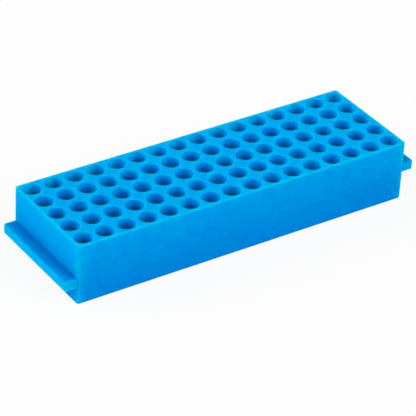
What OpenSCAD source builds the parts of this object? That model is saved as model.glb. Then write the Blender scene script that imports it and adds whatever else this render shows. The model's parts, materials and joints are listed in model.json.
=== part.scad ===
// Microtube rack: one moulded block, open underneath, with a grid of wells and a lifting
// flange at each end. The wells are open tubes, in which microtubes hang by their collars.
// One flange sits lower than the other, so that the high flange of one rack passes over the
// low flange of the next. Millimetres, +Z up, with the origin in the middle of the foot.

/* [Wells] */
// Wells along the length
columns = 16; // [2:1:20]
// Wells across the width
rows = 5; // [2:1:8]
// Centre distance between neighbouring wells
pitch = 15; // [14:0.5:20]
// Bore of a well
well_d = 12.2; // [11.8:0.1:12.6]
// Round-over of the well mouths
mouth_r = 0.4; // [0.2:0.1:0.6]

/* [Body] */
// Height of the block
body_h = 41; // [36:0.5:60]
// From the end faces to the nearest well centres
end_margin = 7.5; // [7:0.25:12]
// From the long faces to the nearest well centres
side_margin = 7.75; // [7:0.25:12]
// Radius of the four upright corners
corner_r = 2; // [1.5:0.25:4]
// Round-over of the top edges
edge_r = 0.8; // [0.4:0.1:1.4]
// Round-over of the foot edges
foot_r = 0.4; // [0.2:0.1:0.6]

/* [Moulding] */
// Thickness of the top plate
plate_t = 2.5; // [2:0.25:4]
// Thickness of the skirt
skirt_t = 1.5; // [1.5:0.25:3]
// Wall of the tubes that form the wells
tube_t = 1.8; // [1.7:0.1:2.2]
// Height of the tubes' lower ends above the table
tube_z = 1.5; // [1:0.5:4]
// Thickness of the ribs between the tubes
rib_t = 1.5; // [1:0.1:2.5]
// Height of the ribs' lower edges above the table
rib_z = 5; // [3:0.5:20]

/* [Flanges] */
// How far the flanges stand out from the end faces
flange_reach = 8.25; // [6:0.25:20]
// Thickness of the flanges
flange_h = 6.25; // [4:0.25:8]
// Height of the low flange's underside
low_flange_z = 11; // [6:0.5:12]
// Height of the high flange's underside
high_flange_z = 18.5; // [18:0.5:24]
// How far the flanges stop short of the long faces
flange_inset = 1; // [0.5:0.25:10]
// Radius of the flanges' outer corners
flange_corner_r = 1.5; // [1:0.25:3]
// Round-over of the flanges' edges
flange_edge_r = 0.7; // [0.3:0.1:0.9]
// Shelf and lip thickness of the hollow flanges
flange_t = 2; // [1.5:0.25:2.5]

/* [Hidden] */
$fn = 64;
arc_steps = 6;
overlap = 1;
rack_blue = [0.01, 0.56, 0.92];
grid_l = (columns - 1) * pitch;
grid_w = (rows - 1) * pitch;
body_l = grid_l + 2 * end_margin;
body_w = grid_w + 2 * side_margin;
tube_d = well_d + 2 * tube_t;
plate_z = body_h - plate_t;
flange_w = body_w - 2 * flange_inset;

// Points of a round-over, from angle a0 to a1 about [x, z]
function arc(x, z, r, a0, a1) =
    [for (i = [0:arc_steps]) let (a = a0 + (a1 - a0) * i / arc_steps) [x + r * cos(a), z + r * sin(a)]];

// Outer side of a block's section, from foot to top, at half its width
function side_points(half, h, top_r, low_r) =
    concat(arc(half - low_r, low_r, low_r, -90, 0), arc(half - top_r, h - top_r, top_r, 0, 90));

module block_section(half, h, top_r, low_r) {
    right = side_points(half, h, top_r, low_r);
    last = len(right) - 1;
    polygon(concat(right, [for (i = [0:last]) [-right[last - i][0], right[last - i][1]]]));
}

// Upright corner of a block: a post with the same round-overs as its sides
module block_corner(r, h, top_r, low_r) {
    rotate_extrude() polygon(concat([[0, 0]], side_points(r, h, top_r, low_r), [[0, h]]));
}

// Block standing on z = 0 with upright corners of radius r and rounded top and low edges
module soft_block(l, w, h, r, top_r, low_r) {
    rotate([90, 0, 90]) linear_extrude(l - 2 * r, center = true) block_section(w / 2, h, top_r, low_r);
    rotate([90, 0, 0]) linear_extrude(w - 2 * r, center = true) block_section(l / 2, h, top_r, low_r);
    for (x = [-1, 1], y = [-1, 1])
        translate([x * (l / 2 - r), y * (w / 2 - r), 0]) block_corner(r, h, top_r, low_r);
}

module at_wells() {
    for (i = [0:columns - 1], j = [0:rows - 1])
        translate([i * pitch - grid_l / 2, j * pitch - grid_w / 2, 0]) children();
}

// Bore and rounded mouth of one well
module well() {
    r = well_d / 2;
    mouth = arc(r + mouth_r, body_h - mouth_r, mouth_r, 180, 90);
    rotate_extrude() polygon(concat([[0, -overlap], [r, -overlap]], mouth,
        [[r + mouth_r, body_h + overlap], [0, body_h + overlap]]));
}

module tube() {
    translate([0, 0, tube_z]) cylinder(d = tube_d, h = plate_z - tube_z + overlap);
}

module ribs() {
    h = plate_z - rib_z + overlap;
    for (j = [0:rows - 1])
        translate([-body_l / 2, j * pitch - grid_w / 2 - rib_t / 2, rib_z]) cube([body_l, rib_t, h]);
    for (i = [0:columns - 1])
        translate([i * pitch - grid_l / 2 - rib_t / 2, -body_w / 2, rib_z]) cube([rib_t, body_w, h]);
}

// Space inside the skirt, between the tubes and the ribs
module underside() {
    l = body_l - 2 * skirt_t;
    w = body_w - 2 * skirt_t;
    difference() {
        translate([-l / 2, -w / 2, -overlap]) cube([l, w, plate_z + overlap]);
        at_wells() tube();
        ribs();
    }
}

// Flange on the +X end, with its underside at z = 0: a shelf with a lip round its edge
module flange() {
    l = 2 * flange_reach;
    pocket_l = flange_reach - flange_t;
    translate([body_l / 2, 0, 0]) difference() {
        soft_block(l, flange_w, flange_h, flange_corner_r, flange_edge_r, flange_edge_r);
        translate([0, -flange_w / 2 + flange_t, -overlap])
            cube([pocket_l, flange_w - 2 * flange_t, flange_h - flange_t + overlap]);
        translate([-l, -body_w / 2, -overlap]) cube([l - skirt_t / 2, body_w, flange_h + 2 * overlap]);
    }
}

module tube_rack() {
    color(rack_blue) difference() {
        union() {
            soft_block(body_l, body_w, body_h, corner_r, edge_r, foot_r);
            translate([0, 0, high_flange_z]) flange();
            mirror([1, 0, 0]) translate([0, 0, low_flange_z]) flange();
        }
        underside();
        at_wells() well();
    }
}

tube_rack();
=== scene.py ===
import json
import math

import bmesh
import bpy
from mathutils import Matrix, Vector


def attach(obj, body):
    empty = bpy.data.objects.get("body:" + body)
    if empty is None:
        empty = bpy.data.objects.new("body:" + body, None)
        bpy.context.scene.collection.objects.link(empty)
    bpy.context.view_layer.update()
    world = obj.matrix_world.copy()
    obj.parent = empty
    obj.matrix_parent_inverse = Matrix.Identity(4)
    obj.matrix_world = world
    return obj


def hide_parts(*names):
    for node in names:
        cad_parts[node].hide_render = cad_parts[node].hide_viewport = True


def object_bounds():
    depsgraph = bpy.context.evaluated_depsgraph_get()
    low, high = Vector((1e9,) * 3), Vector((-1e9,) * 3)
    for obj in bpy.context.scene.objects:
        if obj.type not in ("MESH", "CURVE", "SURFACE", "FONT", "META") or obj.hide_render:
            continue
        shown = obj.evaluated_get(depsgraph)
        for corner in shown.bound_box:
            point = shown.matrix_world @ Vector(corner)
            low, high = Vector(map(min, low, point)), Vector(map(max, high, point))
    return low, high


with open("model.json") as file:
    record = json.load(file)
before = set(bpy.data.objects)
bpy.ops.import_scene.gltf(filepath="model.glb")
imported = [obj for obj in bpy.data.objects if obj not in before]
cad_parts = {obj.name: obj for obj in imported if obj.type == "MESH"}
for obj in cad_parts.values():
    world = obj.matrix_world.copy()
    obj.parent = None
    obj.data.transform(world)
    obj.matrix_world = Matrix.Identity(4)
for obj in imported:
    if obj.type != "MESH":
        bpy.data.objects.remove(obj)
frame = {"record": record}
cadLow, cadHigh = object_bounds()
print("frame loaded")


# Small helpers for meshes

def arcPoints(across, up, radius, start, stop, steps):  # round-over in a section, angles in degrees
    turns = [math.radians(start + (stop - start) * i / steps) for i in range(steps + 1)]
    return [(across + radius * math.cos(t), up + radius * math.sin(t)) for t in turns]


def circleLoop(centre, radius, z, sides):
    turns = [2 * math.pi * i / sides for i in range(sides)]
    return [Vector((centre[0] + radius * math.cos(t), centre[1] + radius * math.sin(t), z)) for t in turns]


def blockLoop(halfLength, halfWidth, radius, z, steps):  # rounded rectangle
    points = []
    for quarter, (sx, sy) in enumerate(((1, 1), (-1, 1), (-1, -1), (1, -1))):
        x, y = sx * (halfLength - radius), sy * (halfWidth - radius)
        start = 90 * quarter
        points += [Vector((px, py, z)) for px, py in arcPoints(x, y, radius, start, start + 90, steps)]
    return points


def skin(bm, loops):  # closed shell over a stack of loops with equal counts
    rings = [[bm.verts.new(p) for p in loop] for loop in loops]
    count = len(rings[0])
    for low, high in zip(rings, rings[1:]):
        for i in range(count):
            j = (i + 1) % count
            bm.faces.new((low[i], low[j], high[j], high[i]))
    bm.faces.new(reversed(rings[0]))
    bm.faces.new(rings[-1])


def box(bm, low, high):
    corners = [(low[0], low[1]), (high[0], low[1]), (high[0], high[1]), (low[0], high[1])]
    skin(bm, [[Vector((x, y, z)) for x, y in corners] for z in (low[2], high[2])])


def meshObject(name, fill):
    bm = bmesh.new()
    fill(bm)
    bmesh.ops.recalc_face_normals(bm, faces=bm.faces)
    mesh = bpy.data.meshes.new(name)
    bm.to_mesh(mesh)
    bm.free()
    made = bpy.data.objects.new(name, mesh)
    bpy.context.scene.collection.objects.link(made)
    return made


def combine(body, tool, operation):  # exact boolean, applied; the tool is used up
    step = body.modifiers.new("combine", "BOOLEAN")
    step.object = tool
    step.operation = operation
    step.solver = "EXACT"
    graph = bpy.context.evaluated_depsgraph_get()
    done = bpy.data.meshes.new_from_object(body.evaluated_get(graph))
    body.modifiers.clear()
    body.data = done
    bpy.data.objects.remove(tool)


# The rack

rack = {
    "cornerR": 0.002,  # upright corners of the block
    "edgeR": 0.0008,  # top edges
    "footR": 0.0004,  # foot edges
    "plate": 0.0025,  # top plate
    "skirt": 0.0015,
    "tubeWall": 0.0018,
    "reach": 0.00825,  # flanges, out from the end faces
    "flangeHeight": 0.00625,
    "flangeLow": {-1: 0.011, 1: 0.0185},  # undersides, by end
    "flangeInset": 0.001,
    "flangeCornerR": 0.0015,
    "flangeEdgeR": 0.0007,
    "shelf": 0.002,  # shelf and lip of the hollow flanges
    "cornerSteps": 8,
    "arcSteps": 6,
    "wellSides": 64,
    "tubeSides": 48,
    "over": 0.001,  # how far cutters run past a face
    "weld": 1e-6,  # points closer than this are merged
    "sharpAngle": 35,
    "faceWeight": 100,  # how far large faces lead the shading
}

wells = [m for m in frame["record"]["mounts"] if m["kind"] == "bore"]
wellR = wells[0]["dims"]["r_mm"] / 1000
mouthZ = wells[0]["pos_m"][2]
tubeLow = mouthZ - wells[0]["dims"]["length_mm"] / 1000
top = cadHigh.z
mouthR = top - mouthZ
halfLength = cadHigh.x - rack["reach"]
halfWidth = cadHigh.y
columns = sorted({m["pos_m"][0] for m in wells})
rows = sorted({m["pos_m"][1] for m in wells})


def softBlock(bm, centreX, halfL, halfW, low, high, cornerR, topR, lowR):
    steps = rack["arcSteps"]
    side = arcPoints(-lowR, low + lowR, lowR, -90, 0, steps)
    side += arcPoints(-topR, high - topR, topR, 0, 90, steps)
    loops = []
    for inward, z in side:
        loop = blockLoop(halfL + inward, halfW + inward, cornerR + inward, z, rack["cornerSteps"])
        loops.append([p + Vector((centreX, 0, 0)) for p in loop])
    skin(bm, loops)


def fillBlock(bm):
    softBlock(bm, 0, halfLength, halfWidth, 0, top, rack["cornerR"], rack["edgeR"], rack["footR"])


def fillFlange(end):
    low = rack["flangeLow"][end]
    high = low + rack["flangeHeight"]

    def fill(bm):
        inner = halfLength - rack["skirt"] / 2
        centre = (inner + halfLength + rack["reach"]) / 2
        halfL = halfLength + rack["reach"] - centre
        halfW = halfWidth - rack["flangeInset"]
        edgeR = rack["flangeEdgeR"]
        softBlock(bm, end * centre, halfL, halfW, low, high, rack["flangeCornerR"], edgeR, edgeR)
    return fill


def fillPocket(end):  # hollow under a flange
    low = rack["flangeLow"][end]

    def fill(bm):
        xs = sorted((end * halfLength, end * (halfLength + rack["reach"] - rack["shelf"])))
        y = halfWidth - rack["flangeInset"] - rack["shelf"]
        box(bm, (xs[0], -y, low - rack["over"]), (xs[1], y, low + rack["flangeHeight"] - rack["shelf"]))
    return fill


def fillHollow(bm):
    x, y = halfLength - rack["skirt"], halfWidth - rack["skirt"]
    box(bm, (-x, -y, -rack["over"]), (x, y, top - rack["plate"]))


def fillTubes(turn):  # every other tube, because neighbours run into one another
    radius = wellR + rack["tubeWall"]
    heights = (tubeLow, top - rack["plate"] + rack["over"])

    def fill(bm):
        for i, x in enumerate(columns):
            for j, y in enumerate(rows):
                if (i + j) % 2 == turn:
                    skin(bm, [circleLoop((x, y), radius, z, rack["tubeSides"]) for z in heights])
    return fill


def fillWells(bm):
    mouth = arcPoints(wellR + mouthR, top - mouthR, mouthR, 180, 90, rack["arcSteps"])
    side = [(wellR, -rack["over"])] + mouth + [(wellR + mouthR, top + rack["over"])]
    for m in wells:
        skin(bm, [circleLoop(m["pos_m"], r, z, rack["wellSides"]) for r, z in side])


def buildRack():
    body = meshObject("rackMoulding", fillBlock)
    for end in (-1, 1):
        combine(body, meshObject("flange", fillFlange(end)), "UNION")
        combine(body, meshObject("pocket", fillPocket(end)), "DIFFERENCE")
    hollow = meshObject("hollow", fillHollow)
    for turn in (0, 1):
        combine(hollow, meshObject("tubes", fillTubes(turn)), "DIFFERENCE")
    combine(body, hollow, "DIFFERENCE")
    combine(body, meshObject("wells", fillWells), "DIFFERENCE")
    tidyMesh(body)
    return body


def tidyMesh(piece):
    bm = bmesh.new()
    bm.from_mesh(piece.data)
    bmesh.ops.remove_doubles(bm, verts=bm.verts, dist=rack["weld"])
    bmesh.ops.dissolve_degenerate(bm, edges=bm.edges, dist=rack["weld"])
    bm.to_mesh(piece.data)
    bm.free()
    piece.data.shade_smooth()
    piece.data.set_sharp_from_angle(angle=math.radians(rack["sharpAngle"]))
    weights = piece.modifiers.new("weights", "WEIGHTED_NORMAL")
    weights.keep_sharp = True
    weights.weight = rack["faceWeight"]


# Materials

class Wire:  # a socket that can be used in sums
    def __init__(self, kit, socket):
        self.kit = kit
        self.socket = socket

    def maths(self, operation, first, second):
        return self.kit.node("ShaderNodeMath", {"operation": operation}, {0: first, 1: second})

    def __add__(self, other):
        return self.maths("ADD", self, other)

    def __radd__(self, other):
        return self.maths("ADD", other, self)

    def __sub__(self, other):
        return self.maths("SUBTRACT", self, other)

    def __rsub__(self, other):
        return self.maths("SUBTRACT", other, self)

    def __mul__(self, other):
        return self.maths("MULTIPLY", self, other)

    def __rmul__(self, other):
        return self.maths("MULTIPLY", other, self)

    def __truediv__(self, other):
        return self.maths("DIVIDE", self, other)

    def __rtruediv__(self, other):
        return self.maths("DIVIDE", other, self)

    def __pow__(self, other):
        return self.maths("POWER", self, other)

    def __rpow__(self, other):
        return self.maths("POWER", other, self)

    def absolute(self):
        return self.maths("ABSOLUTE", self, 0)

    def larger(self, other):
        return self.maths("MAXIMUM", self, other)

    def smaller(self, other):
        return self.maths("MINIMUM", self, other)

    def above(self, limit):
        return self.maths("GREATER_THAN", self, limit)

    def folded(self, span):  # runs up and down between 0 and span
        return self.maths("PINGPONG", self, span)

    def fading(self, span):  # 1 at 0, halved over each span
        return 0.5 ** (self / span)

    def mixed(self, other, share):
        return self * (1 - share) + other * share


class ShaderKit:
    def __init__(self, owner):  # a material or a world
        owner.use_nodes = True
        self.owner = owner
        self.tree = owner.node_tree
        self.tree.nodes.clear()

    def node(self, kind, settings, links, output=0):
        made = self.tree.nodes.new(kind)
        for key, value in settings.items():
            setattr(made, key, value)
        for key, value in links.items():
            if isinstance(value, Wire):
                self.tree.links.new(value.socket, made.inputs[key])
            else:
                made.inputs[key].default_value = value
        return Wire(self, made.outputs[output]) if made.outputs else None

    def smooth(self, value, low, high):  # 0 at low, 1 at high, eased between
        settings = {"data_type": "FLOAT", "interpolation_type": "SMOOTHSTEP"}
        return self.node("ShaderNodeMapRange", settings, {"Value": value, 1: low, 2: high})

    def plainRays(self):  # rays that see the background and not the light
        camera, glossy, through = [self.node("ShaderNodeLightPath", {}, {}, "Is %s Ray" % ray)
                                   for ray in ("Camera", "Glossy", "Transmission")]
        return camera.larger(glossy).larger(through)

    def noise(self, place, scale, detail):
        return self.node("ShaderNodeTexNoise", {}, {"Vector": place, "Scale": scale, "Detail": detail})

    def blend(self, factor, first, second):  # of two colours
        return self.node("ShaderNodeMix", {"data_type": "RGBA"}, {"Factor": factor, 6: first, 7: second}, 2)


rackPlastic = {
    "deck": (0.0, 0.36, 0.82, 1),
    "upper": (0.0, 0.325, 0.78, 1),  # painted shade on the upright sides near the top, lighter than at the foot, as if light came down through the walls
    "lower": (0.0, 0.26, 0.71, 1),  # painted shade on the upright sides near the table, darker towards the foot
    # heights where the painted shade of the sides is darkest and lightest
    "lowerBelow": 0.006,
    "upperAbove": 0.037,
    # painted light at the wells' rims, deepening to painted shade down the wells
    "well": (0.0, 0.405, 0.99, 1),
    "wellDeep": (0.0, 0.215, 0.46, 1),
    "wellClear": 0.0022,  # depth where the painted shade in the wells starts
    "wellDark": 0.0095,
    # painted shade on the flanges, deepest at the root next to the end faces, where the body shades them
    "flange": (0.0, 0.22, 0.66, 1),
    "flangeRoot": (0.0, 0.20, 0.57, 1),
    "rootReach": 0.007,
    "rootFade": 0.004,  # the painted shade of the root on the end face halves over this
    "rootShade": 0.75,
    "glow": (0.0, 0.42, 0.79, 1),  # painted glow along the edges, standing in for the light that thin edges pass
    "topFade": 0.0009,  # the painted glow halves over this
    "cornerFade": 0.0018,
    "cornerInset": 0.0006,
    "flangeFade": 0.0016,
    "flangeGlow": 0.7,
    "cloud": 0.06,  # how much the tint drifts
    "cloudScale": 28,
    "cloudDetail": 3.0,
    "grainScale": 1400,
    "grainDetail": 2.0,
    "grainDepth": 0.00002,
    "grainStrength": 0.5,
    "justPast": 0.0001,  # a face this far below or beyond another counts as off it
    "mouthShare": 1.1,  # the wells' painted light and shade starts at this share of the mouth's round-over
    "roughness": (0.42, 0.52),
    "specular": 0.003,
    "specularTint": (0.0, 0.7, 1, 1),
    "scatter": 1.0,
    "scatterRadius": (0.1, 1.1, 0.38),
    "scatterScale": 0.007,
}


def makeRackPlastic():
    kit = ShaderKit(bpy.data.materials.new("rackPlastic"))
    place = kit.node("ShaderNodeTexCoord", {}, {}, "Object")
    x, y, z = [kit.node("ShaderNodeSeparateXYZ", {}, {"Vector": place}, axis) for axis in "XYZ"]
    low, high = rack["flangeLow"][-1], rack["flangeLow"][1]
    under = top - z
    out = x.absolute() - halfLength  # beyond the end face, on a flange
    side = halfWidth - y.absolute()
    onFlange = out.above(rackPlastic["justPast"])
    belowDeck = under.above(rackPlastic["justPast"])

    # distance to the edges of the face, for the painted glow along them
    within = (0 - out).larger(0)
    topEdge = within.smaller(side).larger(under)
    cornerEdge = (within.larger(side) - rackPlastic["cornerInset"]).larger(0)
    flangeEdge = (rack["reach"] - out).smaller(side - rack["flangeInset"]).larger(0)
    blockGlow = topEdge.fading(rackPlastic["topFade"]).larger(cornerEdge.fading(rackPlastic["cornerFade"]))
    flangeGlow = flangeEdge.fading(rackPlastic["flangeFade"]) * rackPlastic["flangeGlow"]
    edgeGlow = blockGlow.mixed(flangeGlow, onFlange)

    # distance from the nearest well's wall
    pitch = columns[1] - columns[0]
    alongX = (x - columns[0]).folded(pitch / 2)
    alongY = (y - rows[0]).folded(pitch / 2)
    ring = (alongX * alongX + alongY * alongY) ** 0.5 - wellR
    inWell = (1 - ring.above(mouthR * rackPlastic["mouthShare"])) * (1 - onFlange)

    cloud = kit.noise(place, rackPlastic["cloudScale"], rackPlastic["cloudDetail"])
    grain = kit.noise(place, rackPlastic["grainScale"], rackPlastic["grainDetail"])
    drift = (cloud - 0.5) * rackPlastic["cloud"]
    # painted shade on the upright faces: darker than the deck, and darker still towards the foot
    height = kit.smooth(z, rackPlastic["lowerBelow"], rackPlastic["upperAbove"])
    sides = kit.blend(height + drift, rackPlastic["lower"], rackPlastic["upper"])
    # painted shade on the end faces just above the flange tops
    flangeTop = rack["flangeHeight"] + x.above(0) * (high - low) + low
    onEnd = 1 - within.above(rackPlastic["justPast"])
    root = (z - flangeTop).absolute().fading(rackPlastic["rootFade"]) * onEnd
    sides = kit.blend(root * rackPlastic["rootShade"], sides, rackPlastic["flangeRoot"])
    # painted shade down the wells, from a lighter painted rim
    depth = kit.smooth(under, rackPlastic["wellClear"], rackPlastic["wellDark"])
    paintedWellShade = kit.blend(depth + drift, rackPlastic["well"], rackPlastic["wellDeep"])
    # painted shade across the flange tops, darkest at the root
    reach = kit.smooth(out, 0, rackPlastic["rootReach"])
    paintedFlangeShade = kit.blend(reach + drift, rackPlastic["flangeRoot"], rackPlastic["flange"])
    # the deck keeps its own colour; below it goes the painted shade of sides, wells and flanges, then the
    # painted edge glow
    colour = kit.blend(belowDeck, rackPlastic["deck"], sides)
    colour = kit.blend(inWell * belowDeck, colour, paintedWellShade)
    colour = kit.blend(onFlange, colour, paintedFlangeShade)
    # painted glow along the outer edges of block and flanges
    colour = kit.blend(edgeGlow, colour, rackPlastic["glow"])

    satin, dull = rackPlastic["roughness"]
    roughness = satin + (dull - satin) * cloud
    bump = kit.node("ShaderNodeBump", {}, {
        "Height": grain, "Strength": rackPlastic["grainStrength"], "Distance": rackPlastic["grainDepth"]})
    surface = kit.node("ShaderNodeBsdfPrincipled", {}, {
        "Base Color": colour, "Roughness": roughness, "Normal": bump,
        "Specular IOR Level": rackPlastic["specular"], "Specular Tint": rackPlastic["specularTint"],
        "Subsurface Weight": rackPlastic["scatter"], "Subsurface Radius": rackPlastic["scatterRadius"],
        "Subsurface Scale": rackPlastic["scatterScale"]})
    kit.node("ShaderNodeOutputMaterial", {}, {"Surface": surface})
    return kit.owner


moulding = buildRack()
moulding.data.materials.clear()
moulding.data.materials.append(makeRackPlastic())
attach(moulding, "root")
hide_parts("tube_rack")
print("rack built:", len(moulding.data.polygons), "faces")


# Floor, light and camera

studio = {
    "floorSize": 6,
    "floorGap": 0.00005,  # keeps the foot from lying in the floor's plane
    "floorColour": (0.85, 0.85, 0.85, 1),
    "cameraGlow": 0.9,  # share of plain white that the camera sees in the floor
    "glowSharpness": 8,
    "glows": (  # soft sky lights: azimuth, elevation, strength
        (-110, 31, 5.4),
        (25, 36, 5.0),
        (160, 18, 1.6),
    ),
    "white": 1.0,  # strength of the background that the camera sees
}


def around(centre, azimuth, elevation, distance):  # azimuth 0 stands at -Y, 90 at +X
    a, e = math.radians(azimuth), math.radians(elevation)
    return centre + distance * Vector((math.sin(a) * math.cos(e), -math.cos(a) * math.cos(e), math.sin(e)))


def aimAt(thing, target, roll):
    facing = (target - thing.location).to_track_quat("-Z", "Y").to_matrix()
    thing.rotation_euler = (facing @ Matrix.Rotation(math.radians(roll), 3, "Z")).to_euler()


def makeFloor():
    half = studio["floorSize"] / 2
    signs = ((-1, -1), (1, -1), (1, 1), (-1, 1))
    corners = [Vector((half * x, half * y, -studio["floorGap"])) for x, y in signs]
    floor = meshObject("floor", lambda bm: bm.faces.new([bm.verts.new(p) for p in corners]))
    kit = ShaderKit(bpy.data.materials.new("paleFloor"))
    seen = kit.plainRays()
    matt = kit.node("ShaderNodeBsdfDiffuse", {}, {"Color": studio["floorColour"]})
    white = kit.node("ShaderNodeEmission", {}, {"Strength": studio["white"]})
    surface = kit.node("ShaderNodeMixShader", {}, {0: seen * studio["cameraGlow"], 1: matt, 2: white})
    kit.node("ShaderNodeOutputMaterial", {}, {"Surface": surface})
    floor.data.materials.append(kit.owner)


def makeWorld():
    bpy.context.scene.world = bpy.data.worlds.new("studio")
    kit = ShaderKit(bpy.context.scene.world)
    ray = kit.node("ShaderNodeTexCoord", {}, {}, "Generated")
    light = 0
    for azimuth, elevation, strength in studio["glows"]:
        facing = around(Vector(), azimuth, elevation, 1)
        dot = kit.node("ShaderNodeVectorMath", {"operation": "DOT_PRODUCT"}, {0: ray, 1: facing}, "Value")
        light = light + dot.larger(0) ** studio["glowSharpness"] * strength
    seen = kit.plainRays()
    sky = kit.node("ShaderNodeBackground", {}, {"Strength": light})
    white = kit.node("ShaderNodeBackground", {}, {"Strength": studio["white"]})
    surface = kit.node("ShaderNodeMixShader", {}, {0: seen, 1: sky, 2: white})
    kit.node("ShaderNodeOutputWorld", {}, {"Surface": surface})


view = {
    "azimuth": -35.24,
    "elevation": 33.01,
    "roll": 3.29,
    "distance": 1.4972,
    "aimBack": (-0.01282, -0.01387),  # aim point, from the rack's middle
    "lens": 210.9,
    "sensor": 36,
    "clipEnd": 20,
}


def makeCamera():
    middle = (cadLow + cadHigh) / 2
    target = middle + Vector((*view["aimBack"], 0))
    data = bpy.data.cameras.new("camera")
    data.lens = view["lens"]
    data.sensor_width = view["sensor"]
    data.clip_end = view["clipEnd"]
    camera = bpy.data.objects.new("camera", data)
    bpy.context.scene.collection.objects.link(camera)
    camera.location = around(target, view["azimuth"], view["elevation"], view["distance"])
    aimAt(camera, target, view["roll"])
    bpy.context.scene.camera = camera


makeFloor()
makeWorld()
makeCamera()
bpy.context.scene.view_settings.view_transform = "Standard"
print("studio ready")
